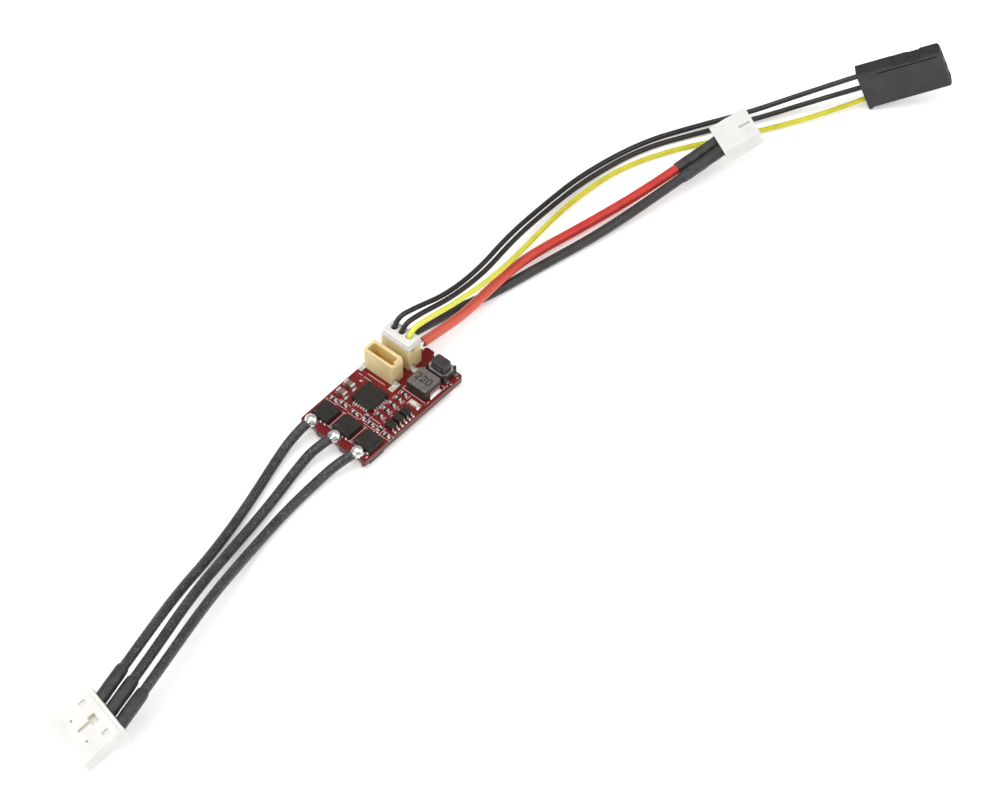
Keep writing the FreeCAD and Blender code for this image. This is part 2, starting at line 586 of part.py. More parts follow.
def main():
    os.makedirs("parts", exist_ok=True)
    board = make_board()
    export("pcb_board", board)

    chips, tabs = make_fets(1)
    export("mosfets_top", *chips)
    export("mosfet_tabs_top", *tabs)
    chips, tabs = make_fets(-1)
    export("mosfets_under", *chips)
    export("mosfet_tabs_under", *tabs)

    body, pads = make_quad_chip(MCU_CENTRE, MCU_SIDE, MCU_PADS, MCU_PAD_PITCH, TOP + 0.06, 0.84, TOP)
    export("microcontroller", body)
    export("microcontroller_pads", *pads)
    body, pads = make_quad_chip((-1.5, 0.0), 5.0, 7, 0.5, UNDER - 0.86, 0.8, UNDER - 0.22)
    export("gate_driver", body)
    export("gate_driver_pads", *pads)

    bodies, leads = make_small_transistors()
    export("driver_transistors", *bodies)
    export("driver_transistor_leads", *leads)
    bodies, caps = make_chips(SMALL_CHIPS, (1.0, 0.5, 0.42), 0.25)
    export("chip_resistors", *bodies)
    export("chip_resistor_ends", *caps)
    bodies, caps = make_chips(LARGE_CHIPS, (1.7, 0.9, 0.85), 0.35)
    export("chip_capacitors", *bodies)
    export("chip_capacitor_ends", *caps)
    bodies, caps = make_chips(BULK_CHIPS, (3.2, 1.6, UNDER), 0.5)
    export("bulk_capacitors", *bodies)
    export("bulk_capacitor_ends", *caps)
    bodies, caps = make_chips([(1.75, -4.75, False, TOP)], (1.6, 0.8, 0.6), 0.35)
    export("status_led", *bodies)
    export("status_led_ends", *caps)

    body, terminals = make_inductor()
    export("inductor", body)
    export("inductor_terminals", *terminals)

    base, dome, plunger, cover, tabs = make_switch()
    export("switch_base", base)
    export("switch_dome", dome)
    export("switch_button", plunger)
    export("switch_cover", cover)
    export("switch_tabs", *tabs)

    for name, x, size, rear_wall in (
        ("aux_header", AUX_X, AUX_HEADER, 0.6),
        ("receiver_header", RECEIVER_X, RECEIVER_HEADER, 0.5),
    ):
        shell, pins, tabs = make_header(x, size, 0.4, rear_wall)
        export(name, shell)
        export(name + "_pins", *pins)
        export(name + "_tabs", *tabs)
    plug, contacts = make_receiver_plug()
    export("receiver_plug", plug)
    export("receiver_plug_contacts", *contacts)

    joints, bare_ends = [], []
    for name, route in zip("abc", motor_routes()):
        name = "motor_wire_" + name
        trims = (beyond(MOTOR_WIRE_END, 1), behind_face(MOTOR_PLUG_AT))
        wire = tube(route, POWER_D, name, *trims)
        y = route[0][1]
        bare = wire_end(MOTOR_WIRE_END, y, 1.8, 1)
        keep = span(BOARD_X[0] + 0.02, -10.15, -BOARD_HALF_W, BOARD_HALF_W, TOP, 5)
        joints.append(solder(-10.93, y, 1.12, 1.15, bare, wire, keep))
        bare_ends.append(bare)
        export(name, wire)
    sleeves = [sleeve(r, MOTOR_SLEEVE, SLEEVE_R, MOTOR_PLUG_AT) for r in motor_routes()]
    export("motor_sleeves", *sleeves)

    for name, route in zip(("battery_wire_red", "battery_wire_black"), battery_routes()):
        trims = (beyond(BATTERY_WIRE_END, -1), behind_face(BATTERY_PLUG_AT))
        wire = tube(route, POWER_D, name, *trims)
        y = route[0][1]
        bare = wire_end(BATTERY_WIRE_END, y, 1.3, -1)
        keep = span(9.9, TAB_X - 0.02, -BOARD_HALF_W, BOARD_HALF_W, TOP, 5)
        joints.append(solder(10.9, y, 0.85, 0.9, bare, wire, keep))
        bare_ends.append(bare)
        export(name, wire)
    sleeves = [sleeve(r, BATTERY_SLEEVE, SLEEVE_R - 0.06, BATTERY_PLUG_AT) for r in battery_routes()]
    export("battery_sleeves", *sleeves)
    export("solder_joints", *joints)
    export("tinned_wire_ends", *bare_ends)

    names = ("signal_wire_black", "signal_wire_brown", "signal_wire_yellow")
    contacts_top = span(5, 11, 0, 7, SIGNAL_START_Z - 3, SIGNAL_START_Z)
    for name, route in zip(names, signal_routes()):
        export(name, tube(route, SIGNAL_D, name, contacts_top, behind_face(RECEIVER_END_AT)))

    for name, maker, at in (
        ("motor_plug", make_motor_plug, MOTOR_PLUG_AT),
        ("battery_plug", make_battery_plug, BATTERY_PLUG_AT),
        ("receiver_connector", make_receiver_end, RECEIVER_END_AT),
    ):
        body, contacts = maker()
        export(name, placed(body, at))
        export(name + "_contacts", *[placed(c, at) for c in contacts])


main()
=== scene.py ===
import bpy
import bmesh
import math
from mathutils import Matrix, Vector, noise


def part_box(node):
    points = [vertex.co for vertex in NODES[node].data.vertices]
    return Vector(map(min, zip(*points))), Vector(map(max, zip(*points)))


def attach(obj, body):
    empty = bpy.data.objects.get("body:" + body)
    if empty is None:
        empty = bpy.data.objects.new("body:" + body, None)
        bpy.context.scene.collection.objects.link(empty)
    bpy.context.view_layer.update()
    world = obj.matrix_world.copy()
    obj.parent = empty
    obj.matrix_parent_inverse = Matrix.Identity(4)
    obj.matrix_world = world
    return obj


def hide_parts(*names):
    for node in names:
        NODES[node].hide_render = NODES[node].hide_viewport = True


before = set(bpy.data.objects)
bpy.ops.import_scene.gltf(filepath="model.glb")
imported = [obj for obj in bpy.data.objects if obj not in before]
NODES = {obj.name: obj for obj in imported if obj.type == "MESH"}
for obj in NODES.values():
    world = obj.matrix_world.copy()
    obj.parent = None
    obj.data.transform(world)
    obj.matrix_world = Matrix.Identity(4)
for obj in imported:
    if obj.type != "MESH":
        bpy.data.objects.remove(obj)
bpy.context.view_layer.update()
MM = 0.001

# ---- the camera, which looks down from the motor leads' side ----------------
CAMERA_AZIMUTH, CAMERA_ELEVATION = math.radians(-48.87), math.radians(50.5)
CAMERA_DISTANCE = 0.961
CAMERA_TARGET = Vector((0.01134, -0.01395, 0.002))
CAMERA_LENS = 225

# ---- sizes shared with the CAD model, in millimetres -----------------------
BOARD_TOP = 2.2
POWER_D = 1.6
SIGNAL_D = 0.85
MOTOR_Y = (4.9, 0.2, -4.5)
BATTERY_Y = (2.25, 4.85)
FET_X = -8.45
FET_Y = (4.2, -0.2, -4.6)
FET_HALF = 1.68  # from its middle to the foot of its solder
FET_PAD_PITCH = 0.8
PROCESSOR = (-1.75, 1.2)
PROCESSOR_HALF = 2.02  # likewise
PROCESSOR_PADS, PROCESSOR_PITCH = 6, 0.5
HEADER_Y = 3.25
HEADER_PIN_PITCH = 1.5


# ---- materials -------------------------------------------------------------
# the sockets of a Mix node that is set to colours
FACTOR, COLOUR_A, COLOUR_B = 0, 6, 7
MIXED_COLOUR = 2


class Look:
    """A principled material whose textures read the object's own coordinates."""

    def __init__(self, name, **sockets):
        self.mat = bpy.data.materials.new(name)
        self.mat.use_nodes = True
        self.tree = self.mat.node_tree
        self.shader = self.tree.nodes["Principled BSDF"]
        self.place = self.tree.nodes.new("ShaderNodeTexCoord").outputs["Object"]
        self.normal = None
        for socket, value in sockets.items():
            self.shader.inputs[socket.replace("_", " ")].default_value = value

    def node(self, kind, **settings):
        made = self.tree.nodes.new(kind)
        for key, value in settings.items():
            setattr(made, key, value)
        return made

    def link(self, a, b):
        self.tree.links.new(a, b)

    def stretched(self, factors):
        mapping = self.node("ShaderNodeMapping")
        mapping.inputs["Scale"].default_value = factors
        self.link(self.place, mapping.inputs["Vector"])
        return mapping.outputs["Vector"]

    def noise(self, scale, detail=3.0, place=None, roughness=0.55):
        made = self.node("ShaderNodeTexNoise")
        made.inputs["Scale"].default_value = scale
        made.inputs["Detail"].default_value = detail
        made.inputs["Roughness"].default_value = roughness
        self.link(place or self.place, made.inputs["Vector"])
        return made.outputs["Fac"]

    def cells(self, scale):
        made = self.node("ShaderNodeTexVoronoi")
        made.inputs["Scale"].default_value = scale
        self.link(self.place, made.inputs["Vector"])
        return made.outputs["Distance"]

    def ramp(self, factor, *stops):
        made = self.node("ShaderNodeValToRGB")
        points = made.color_ramp.elements
        while len(points) < len(stops):
            points.new(0.5)
        for point, (at, colour) in zip(points, stops):
            point.position = at
            point.color = (*colour, 1.0)
        self.link(factor, made.inputs["Fac"])
        return made.outputs["Color"]

    def mix(self, factor, a, b):
        made = self.node("ShaderNodeMix", data_type="RGBA")
        for value, socket in ((factor, FACTOR), (a, COLOUR_A), (b, COLOUR_B)):
            if hasattr(value, "is_output"):
                self.link(value, made.inputs[socket])
            else:
                made.inputs[socket].default_value = value
        return made.outputs[MIXED_COLOUR]

    def facing_up(self):
        """1 on faces that lie flat, 0 on upright ones."""
        split = self.node("ShaderNodeSeparateXYZ")
        self.link(self.node("ShaderNodeNewGeometry").outputs["Normal"], split.inputs["Vector"])
        upright = self.node("ShaderNodeMath", operation="ABSOLUTE")
        self.link(split.outputs["Z"], upright.inputs[0])
        flat = self.node("ShaderNodeMath", operation="GREATER_THAN")
        flat.inputs[1].default_value = 0.6
        self.link(upright.outputs[0], flat.inputs[0])
        return flat.outputs[0]

    def colour(self, output):
        self.link(output, self.shader.inputs["Base Color"])

    def rough(self, factor, low, high):
        made = self.node("ShaderNodeMapRange")
        made.inputs["To Min"].default_value = low
        made.inputs["To Max"].default_value = high
        made.inputs["From Min"].default_value = 0.3
        made.inputs["From Max"].default_value = 0.7
        self.link(factor, made.inputs["Value"])
        self.link(made.outputs["Result"], self.shader.inputs["Roughness"])

    def bump(self, height, distance, strength=1.0):
        made = self.node("ShaderNodeBump")
        made.inputs["Distance"].default_value = distance * MM
        made.inputs["Strength"].default_value = strength
        self.link(height, made.inputs["Height"])
        if self.normal:
            self.link(self.normal, made.inputs["Normal"])
        self.normal = made.outputs["Normal"]
        self.link(self.normal, self.shader.inputs["Normal"])


def surface(name, dark, light, patch, rough, grain=None, **sockets):
    """The common finish: a colour that drifts over patches, and a fine grain.
    Patch and grain are noise scales; a grain's second number is its depth in millimetres."""
    look = Look(name, **sockets)
    drift = look.noise(patch, 4.0)
    look.colour(look.ramp(drift, (0.35, dark), (0.65, light)))
    look.rough(look.noise(patch * 2.3, 3.0), *rough)
    if grain:
        scale, depth = grain
        look.bump(look.noise(scale, 3.0), depth)
    return look


def solder_mask_look():
    """Red mask over copper on the two faces, layers of glass and resin on the edges."""
    look = Look("red_solder_mask", Coat_Weight=0.12, Coat_Roughness=0.2, Specular_IOR_Level=0.3)
    pour = look.ramp(
        look.cells(620), (0.30, (0.120, 0.0030, 0.0045)), (0.42, (0.165, 0.0045, 0.0060))
    )
    drift = look.noise(420, 4.0)
    mask = look.mix(drift, pour, (0.150, 0.0040, 0.0055, 1))
    layers = look.noise(1500, 2.0, look.stretched((0.35, 0.35, 6.0)))
    edge = look.ramp(layers, (0.38, (0.060, 0.016, 0.010)), (0.62, (0.125, 0.042, 0.030)))
    look.colour(look.mix(look.facing_up(), edge, mask))
    look.rough(look.noise(900, 3.0), 0.30, 0.46)
    look.bump(look.cells(620), 0.012, 0.5)
    look.bump(look.noise(5200, 3.0), 0.008, 0.6)
    return look


PAINTED_HIGHLIGHT_UNTIL, PAINTED_HIGHLIGHT_GONE_BY = 12, 48  # along X, where the painted highlight near the board fades out of a lead


def wire_look(name, dark, light, scuff, scuff_amount, rough, pale=None):
    """Soft insulation with a fine grain and handling specks.
    Where pale is given, it is a painted highlight near the board, which fades into the lead's own
    colour along its first stretch."""
    look = Look(name, Specular_IOR_Level=0.5, Sheen_Weight=0.04, Sheen_Roughness=0.5)
    base = look.ramp(look.noise(380, 3.0), (0.36, dark), (0.64, light))
    # painted highlight: the lead is painted paler near the board, fading out along X
    if pale:
        along = look.node("ShaderNodeSeparateXYZ")
        look.link(look.place, along.inputs["Vector"])
        far = look.node("ShaderNodeMapRange", interpolation_type="SMOOTHSTEP")
        far.inputs["From Min"].default_value = PAINTED_HIGHLIGHT_UNTIL * MM
        far.inputs["From Max"].default_value = PAINTED_HIGHLIGHT_GONE_BY * MM
        look.link(along.outputs["X"], far.inputs["Value"])
        base = look.mix(far.outputs["Result"], (*pale, 1), base)
    specks = look.noise(3600, 6.0, roughness=0.8)
    worn = look.ramp(specks, (0.54, (0, 0, 0)), (0.64, (scuff_amount,) * 3))
    look.colour(look.mix(worn, base, (*scuff, 1)))
    look.rough(look.noise(1300, 4.0), *rough)
    look.bump(look.noise(900, 2.0), 0.02, 0.5)
    look.bump(look.noise(4200, 4.0), 0.014, 0.9)
    return look


def nylon_look(name, dark, light, glow, radius, painted_recess_glow):
    """Moulded nylon; its recesses are painted a warm tint, a painted glow and shade standing in for the
    light that has crossed it.
    """
    look = Look(name, Subsurface_Weight=glow, Subsurface_Scale=0.0009, IOR=1.53, Specular_IOR_Level=0.4)
    look.shader.inputs["Subsurface Radius"].default_value = radius
    open_face = look.ramp(look.noise(300, 4.0), (0.35, dark), (0.65, light))
    # painted light: ambient occlusion paints the recesses in the recess colour, a painted glow and
    # shade of light through the nylon
    shelter = look.node("ShaderNodeAmbientOcclusion", samples=16, only_local=True)
    shelter.inputs["Distance"].default_value = 2.2 * MM
    depth = look.ramp(shelter.outputs["AO"], (0.15, (0, 0, 0)), (0.55, (1, 1, 1)))
    look.colour(look.mix(depth, (*painted_recess_glow, 1), open_face))
    look.rough(look.noise(690, 3.0), 0.36, 0.52)
    look.bump(look.noise(420, 2.0), 0.012, 0.6)
    look.bump(look.noise(3600, 3.0), 0.006)
    return look


def core_look():
    """Pressed iron powder: a fine granular grey with dark pits, and upright sides painted much darker
    than the top as painted shade.
    """
    look = Look("pressed_powder", Metallic=0.2)
    grains = look.cells(5200)
    powder = look.noise(2400, 6.0, roughness=0.75)
    top = look.ramp(powder, (0.36, (0.095, 0.080, 0.070)), (0.52, (0.150, 0.132, 0.118)),
                    (0.7, (0.205, 0.186, 0.170)))
    # painted shade: upright faces get a much darker copy of the powder colour than the top
    painted_shade_sides = look.ramp(powder, (0.36, (0.016, 0.010, 0.008)), (0.7, (0.060, 0.050, 0.044)))
    look.colour(look.mix(look.facing_up(), painted_shade_sides, top))
    look.rough(look.noise(2000, 3.0), 0.52, 0.70)
    look.bump(grains, 0.02, 0.7)
    look.bump(look.noise(700, 2.0), 0.02, 0.5)
    return look


def metal_look(name, dark, light, rough, streak, ripple):
    """Metal with a fine polish, whose grain is closer along an axis with a larger streak."""
    look = Look(name, Metallic=1.0)
    along = look.stretched(streak)
    look.colour(look.ramp(look.noise(1400, 4.0), (0.34, dark), (0.66, light)))
    look.rough(look.noise(2300, 4.0, along), *rough)
    look.bump(look.noise(1600, 3.0, along), ripple)
    return look


GREY_SOLDER = metal_look("solder", (0.74, 0.73, 0.71), (0.90, 0.89, 0.87), (0.16, 0.28), (1, 1, 1),
                         0.004)
PAD_TIN = metal_look("pad_tin", (0.78, 0.76, 0.74), (0.93, 0.92, 0.90), (0.34, 0.50), (1, 1, 1), 0.008)
TINNED = metal_look("tinned_metal", (0.48, 0.46, 0.44), (0.68, 0.65, 0.62), (0.22, 0.38), (1, 1, 3),
                    0.010)
STAMPED = metal_look("stamped_steel", (0.44, 0.42, 0.41), (0.60, 0.58, 0.57), (0.26, 0.42), (1, 8, 1),
                     0.008)
BRONZE = metal_look("phosphor_bronze", (0.44, 0.30, 0.14), (0.60, 0.43, 0.22), (0.22, 0.38), (1, 5, 1),
                    0.008)
EPOXY = surface("moulded_epoxy", (0.013, 0.011, 0.009), (0.022, 0.019, 0.016), 900,
                (0.46, 0.60), (7000, 0.010), Specular_IOR_Level=0.34)
RESISTOR = surface("glazed_resistor", (0.014, 0.012, 0.013), (0.034, 0.030, 0.032), 2500,
                   (0.18, 0.32), (6000, 0.006), Coat_Weight=0.3, Coat_Roughness=0.12)
CERAMIC = surface("barium_ceramic", (0.135, 0.088, 0.058), (0.20, 0.14, 0.096), 1800,
                  (0.40, 0.56), (6000, 0.010))
LED = surface("led_resin", (0.58, 0.54, 0.40), (0.70, 0.67, 0.56), 1200, (0.18, 0.30), (3000, 0.006),
              Subsurface_Weight=0.4, Subsurface_Scale=0.0004, Coat_Weight=0.3, Coat_Roughness=0.1)
SWITCH = surface("switch_plastic", (0.014, 0.013, 0.012), (0.026, 0.024, 0.022), 700,
                 (0.42, 0.56), (4200, 0.010))
BUTTON = surface("button_plastic", (0.026, 0.023, 0.024), (0.042, 0.038, 0.038), 700,
                 (0.40, 0.54), (4200, 0.012))
BLACK_PLASTIC = surface("connector_plastic", (0.012, 0.011, 0.010), (0.023, 0.021, 0.020), 260,
                        (0.40, 0.54), (2600, 0.016), Specular_IOR_Level=0.45)
SHRINK = surface("heat_shrink", (0.018, 0.018, 0.018), (0.042, 0.041, 0.040), 900,
                 (0.36, 0.54), (2400, 0.022))
INK = surface("white_ink", (0.50, 0.46, 0.45), (0.66, 0.62, 0.61), 3000, (0.50, 0.65), (6000, 0.004))
DARK_MARK = surface("burnt_mark", (0.020, 0.017, 0.016), (0.045, 0.038, 0.036), 3500,
                    (0.6, 0.75), (6000, 0.006))
CHIP_MARK = surface("chip_mark", (0.030, 0.027, 0.024), (0.044, 0.040, 0.036), 3500,
                    (0.5, 0.65), (6000, 0.006))
TRACK = surface("track_under_mask", (0.21, 0.006, 0.008), (0.28, 0.012, 0.014), 700,
                (0.30, 0.42), (5200, 0.006), Coat_Weight=0.15, Coat_Roughness=0.15)
# the last colour of each nylon is the painted glow and shade in its recesses
BEIGE = nylon_look("beige_nylon", (0.74, 0.59, 0.29), (0.82, 0.69, 0.39), 0.25, (1.0, 0.66, 0.30),
                   (0.86, 0.56, 0.10))
WHITE = nylon_look("white_nylon", (0.71, 0.70, 0.675), (0.77, 0.76, 0.735), 0.30, (1.0, 0.94, 0.84),
                   (0.80, 0.78, 0.70))
MASK = solder_mask_look()
CORE = core_look()
BLACK_SILICONE = wire_look("black_silicone", (0.015, 0.015, 0.015), (0.030, 0.030, 0.030),
                           (0.27, 0.265, 0.26), 0.75, (0.34, 0.50))
CLEAN_SILICONE = wire_look("clean_black_silicone", (0.016, 0.015, 0.014), (0.030, 0.028, 0.027),
                           (0.12, 0.115, 0.11), 0.35, (0.34, 0.48))
# the red lead's pale colour near the board is a painted highlight
RED_SILICONE = wire_look("red_silicone", (0.50, 0.016, 0.010), (0.60, 0.028, 0.018),
                         (0.70, 0.16, 0.12), 0.15, (0.30, 0.44), pale=(0.74, 0.125, 0.085))
BLACK_PVC = wire_look("black_insulation", (0.008, 0.0075, 0.007), (0.018, 0.017, 0.016),
                      (0.09, 0.088, 0.085), 0.25, (0.24, 0.38))
BROWN_PVC = wire_look("brown_insulation", (0.010, 0.0065, 0.0055), (0.019, 0.013, 0.011),
                      (0.09, 0.07, 0.06), 0.25, (0.24, 0.38))
# the yellow lead's pale colour near the board is a painted highlight
YELLOW_PVC = wire_look("yellow_insulation", (0.54, 0.49, 0.014), (0.66, 0.62, 0.030),
                       (0.78, 0.77, 0.20), 0.2, (0.26, 0.38), pale=(0.76, 0.76, 0.085))


# ---- CAD pieces that keep their shape --------------------------------------
def carried(look, round_mm, *names):
    """Gives CAD pieces their material, and rounds their edges as moulding or forming does."""
    for name in names:
        piece = NODES[name]
        piece.data.materials.clear()
        piece.data.materials.append(look.mat)
        weld = piece.modifiers.new("weld", "WELD")
        weld.merge_threshold = 1e-6
        edge = piece.modifiers.new("rounded_edges", "BEVEL")
        edge.width = round_mm * MM
        edge.segments = 3
        edge.limit_method = "ANGLE"
        edge.angle_limit = math.radians(38)
        edge.use_clamp_overlap = True
        edge.harden_normals = True


carried(MASK, 0.03, "pcb_board")
carried(EPOXY, 0.05, "mosfets_top", "mosfets_under", "microcontroller", "gate_driver")
carried(EPOXY, 0.03, "driver_transistors")
carried(PAD_TIN, 0.03, "mosfet_tabs_top", "mosfet_tabs_under")
carried(PAD_TIN, 0.03, "microcontroller_pads", "gate_driver_pads")
carried(TINNED, 0.03, "driver_transistor_leads", "inductor_terminals", "switch_tabs")
carried(TINNED, 0.03, "aux_header_tabs", "receiver_header_tabs")
carried(PAD_TIN, 0.05, "chip_resistor_ends", "chip_capacitor_ends")
carried(PAD_TIN, 0.05, "bulk_capacitor_ends", "status_led_ends")
carried(RESISTOR, 0.02, "chip_resistors")
carried(CERAMIC, 0.03, "chip_capacitors", "bulk_capacitors")
carried(LED, 0.05, "status_led")
carried(CORE, 0.05, "inductor")
carried(SWITCH, 0.04, "switch_base")
carried(BUTTON, 0.06, "switch_button")
carried(STAMPED, 0.02, "switch_cover", "switch_dome")
carried(BEIGE, 0.06, "aux_header", "receiver_header")
carried(BRONZE, 0.02, "aux_header_pins", "receiver_header_pins", "receiver_plug_contacts")
carried(WHITE, 0.10, "receiver_plug", "motor_plug", "battery_plug")
carried(BRONZE, 0.03, "motor_plug_contacts", "battery_plug_contacts", "receiver_connector_contacts")
carried(BLACK_PLASTIC, 0.08, "receiver_connector")


# ---- flexible leads --------------------------------------------------------
def route(*points):
    """Control points, given in millimetres."""
    return [Vector(p) * MM for p in points]


MOTOR_ROUTES = (
    route((-12.1, 4.9, 2.75), (-14.5, 5.1, 2.1), (-18.0, 4.9, 1.0), (-29.1, 1.8, 0.85),
          (-39.3, -0.7, 1.4), (-50.3, -3.5, 4.2), (-63.6, -8.1, 8.0), (-73.5, -9.71, 6.47)),
    route((-12.1, 0.2, 2.75), (-14.7, 0.9, 2.2), (-17.9, 1.1, 1.0), (-27.2, -0.7, 0.85),
          (-36.6, -2.3, 1.4), (-48.5, -5.3, 4.2), (-64.0, -10.6, 7.6), (-73.98, -12.12, 6.0)),
    route((-12.1, -4.5, 2.75), (-14.4, -3.7, 2.2), (-17.8, -3.0, 1.0), (-26.0, -3.3, 0.85),
          (-36.0, -4.8, 1.4), (-48.0, -7.9, 4.3), (-64.4, -13.0, 7.2), (-74.43, -14.53, 5.52)),
)
RED_ROUTE = route((11.8, 2.25, 2.75), (15.0, 1.8, 2.8), (20.6, 1.2, 2.8), (28.0, 1.7, 2.7),
                  (36.0, 2.2, 1.7), (48.5, -0.2, 0.9), (60.3, -3.7, 2.6), (73.23, -6.21, 4.33))
BLACK_ROUTE = route((11.8, 4.85, 2.75), (15.2, 4.7, 1.8), (20.6, 4.1, 0.85), (28.0, 1.6, 0.85),
                    (36.0, -0.1, 0.85), (48.0, -3.0, 1.0), (59.9, -5.4, 2.4), (72.34, -8.02, 4.45))
SIGNAL_ROUTES = (
    route((8.05, 4.75, 7.4), (8.4, 4.7, 9.6), (12.0, 4.1, 9.3), (18.3, 3.3, 7.5), (26.6, 3.9, 5.7),
          (36.1, 6.0, 3.9), (45.6, 7.1, 2.0), (56.0, 7.5, 0.6), (67.0, 5.0, 0.5), (75.0, 0.9, 0.5),
          (82.8, -4.4, 1.4), (90.0, -9.4, 3.4), (96.8, -15.62, 6.69)),
    route((8.05, 3.25, 7.4), (8.4, 3.2, 9.2), (12.0, 2.8, 9.0), (18.5, 2.3, 7.4), (27.0, 3.0, 5.3),
          (36.5, 5.1, 3.5), (46.2, 6.1, 1.8), (55.4, 6.3, 0.6), (66.0, 4.1, 0.5), (75.0, -0.8, 0.5),
          (83.0, -6.0, 0.9), (90.6, -10.9, 2.2), (97.19, -16.31, 4.24)),
    route((8.05, 1.75, 7.4), (8.4, 1.75, 9.0), (12.0, 1.5, 8.7), (18.5, 1.3, 7.0), (27.0, 1.5, 5.1),
          (34.5, 2.5, 3.6), (43.0, 4.0, 2.0), (51.0, 4.9, 0.8), (60.0, 4.1, 0.5), (68.5, 0.6, 0.5),
          (76.0, -4.3, 0.5), (84.0, -9.4, 0.7), (91.0, -13.6, 1.1), (97.62, -16.95, 1.78)),
)


def lead(name, points, diameter_mm, look, body):
    """A wire as one smooth open spline over its route."""
    curve = bpy.data.curves.new(name, "CURVE")
    curve.dimensions = "3D"
    curve.resolution_u = 16
    curve.bevel_depth = diameter_mm / 2 * MM
    curve.bevel_resolution = 8
    curve.use_fill_caps = True
    spline = curve.splines.new("NURBS")
    spline.points.add(len(points) - 1)
    for point, at in zip(spline.points, points):
        point.co = (*at, 1.0)
    spline.order_u = 3
    spline.use_endpoint_u = True
    curve.materials.append(look.mat)
    piece = bpy.data.objects.new(name, curve)
    bpy.context.scene.collection.objects.link(piece)
    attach(piece, body)
    return piece


def line_of(piece):
    """The points of a lead's own centreline, in order, from a copy without its tube."""
    bare = piece.copy()
    bare.data = piece.data.copy()
    bare.data.bevel_depth = 0
    bare.data.use_fill_caps = False
    bpy.context.scene.collection.objects.link(bare)
    bpy.context.view_layer.update()
    mesh = bpy.data.meshes.new_from_object(bare.evaluated_get(bpy.context.evaluated_depsgraph_get()))
    points = [v.co.copy() for v in mesh.vertices]
    bpy.data.meshes.remove(mesh)
    bpy.data.curves.remove(bare.data)
    return points


def mesh_piece(name, bm, look, body, smooth=True):
    """A piece made from a bmesh, which it uses up."""
    mesh = bpy.data.meshes.new(name)
    bmesh.ops.recalc_face_normals(bm, faces=bm.faces)
    bm.to_mesh(mesh)
    bm.free()
    mesh.materials.append(look.mat)
    for face in mesh.polygons:
        face.use_smooth = smooth
    piece = bpy.data.objects.new(name, mesh)
    bpy.context.scene.collection.objects.link(piece)
    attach(piece, body)
    return piece


def last_stretch(points, length):
    """The last part of a line, this long, from its end backwards."""
    out, left = [points[-1]], length
    for a, b in zip(points[::-1], points[-2::-1]):
        step = (b - a).length
        if step >= left:
            out.append(a.lerp(b, left / step))
            break
        left -= step
        out.append(b)
    return out


def even(points, count):
    """This many points, evenly spaced along a line."""
    runs = [(b - a).length for a, b in zip(points, points[1:])]
    total, out = sum(runs), []
    for i in range(count):
        want, k = total * i / (count - 1), 0
        while k < len(runs) - 1 and want > runs[k]:
            want -= runs[k]
            k += 1
        out.append(points[k].lerp(points[k + 1], min(1.0, want / runs[k])))
    return out


SLEEVE_RINGS, SLEEVE_SIDES = 40, 40
SLEEVE_FILM = 0.07  # how far the sleeve stands off the insulation where it grips it
GRIP_LENGTH = 0.35  # over which it opens from that to its full radius
CREASE = 0.05


def add_sleeve(bm, line, length_mm, radius_mm, wire_mm, seed):
    """Shrunk tube on the last stretch of a wire, drawn in where it ends on the insulation."""
    points = even(last_stretch(line, length_mm * MM), SLEEVE_RINGS)
    gripped = wire_mm / 2 + SLEEVE_FILM
    rings = []
    for i, at in enumerate(points):
        ahead = points[min(i + 1, len(points) - 1)] - points[max(i - 1, 0)]
        across = ahead.cross(Vector((0, 0, 1))).normalized()
        over = across.cross(ahead).normalized()
        gone = length_mm * (1 - i / (SLEEVE_RINGS - 1))
        open_by = 1 - math.exp(-gone / GRIP_LENGTH)
        radius = gripped + (radius_mm - gripped) * open_by
        ring = []
        for j in range(SLEEVE_SIDES):
            angle = 2 * math.pi * j / SLEEVE_SIDES
            way = across * math.cos(angle) + over * math.sin(angle)
            spot = Vector((math.cos(angle) * 1.6, math.sin(angle) * 1.6, gone * 0.7 + seed))
            ring.append(bm.verts.new(at + way * (radius + CREASE * noise.noise(spot)) * MM))
        rings.append(ring)
    lip_radius = (wire_mm / 2 - 0.02) * MM
    lip = [bm.verts.new(points[-1] + (v.co - points[-1]).normalized() * lip_radius) for v in rings[-1]]
    rings.append(lip)
    for a, b in zip(rings, rings[1:]):
        for j in range(SLEEVE_SIDES):
            k = (j + 1) % SLEEVE_SIDES
            bm.faces.new((a[j], a[k], b[k], b[j]))


MOTOR_SLEEVE = (6.9, 1.06)  # length and radius
BATTERY_SLEEVE = (8.8, 0.97)

sleeves = bmesh.new()
for i, points in enumerate(MOTOR_ROUTES):
    wire = lead("motor_lead_" + "abc"[i], points, POWER_D, BLACK_SILICONE, "board")
    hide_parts("motor_wire_" + "abc"[i])
    add_sleeve(sleeves, line_of(wire), *MOTOR_SLEEVE, POWER_D, seed=7.3 * i)
motor_sleeves = mesh_piece("motor_shrink_sleeves", sleeves, SHRINK, "board")
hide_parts("motor_sleeves")

red_lead = lead("battery_lead_red", RED_ROUTE, POWER_D, RED_SILICONE, "board")
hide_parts("battery_wire_red")
black_lead = lead("battery_lead_black", BLACK_ROUTE, POWER_D, CLEAN_SILICONE, "board")
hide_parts("battery_wire_black")
sleeves = bmesh.new()
for i, wire in enumerate((red_lead, black_lead)):
    add_sleeve(sleeves, line_of(wire), *BATTERY_SLEEVE, POWER_D, seed=31.7 + 5 * i)
battery_sleeves = mesh_piece("battery_shrink_sleeves", sleeves, SHRINK, "board")
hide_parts("battery_sleeves")

